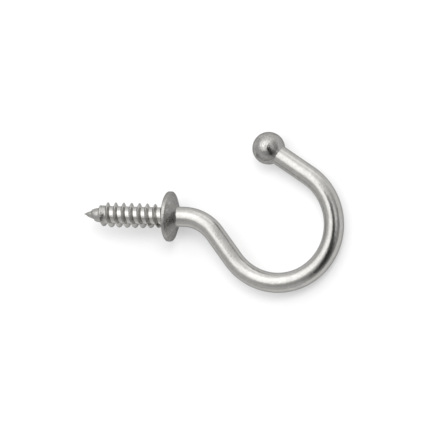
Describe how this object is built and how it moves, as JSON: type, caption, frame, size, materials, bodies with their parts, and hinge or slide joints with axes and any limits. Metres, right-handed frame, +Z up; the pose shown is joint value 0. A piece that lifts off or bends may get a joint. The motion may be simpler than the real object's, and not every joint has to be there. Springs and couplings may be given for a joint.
{
  "type": "screw hook",
  "caption": "Screw hook with a pointed wood-screw thread, a round collar and a bent wire bow that ends in a ball, for hanging things on wood.",
  "frame": {"origin": "on the screw's axis, in the plane of the collar's flat back", "axes": "+Z up, with the hook lying on its side as it comes to rest on the collar's rim, the ball and the far end of the bow; +X from the screw's point to the bow, level, while the screw's axis slopes 5.04 degrees down towards the bow; +Y from the neck to the ball"},
  "size_m": [0.0539, 0.0319, 0.0101],
  "materials": {
    "steel": "satin tumbled stainless steel"
  },
  "bodies": {
    "root": {"screw_hook": "steel"}
  },
  "joints": []
}
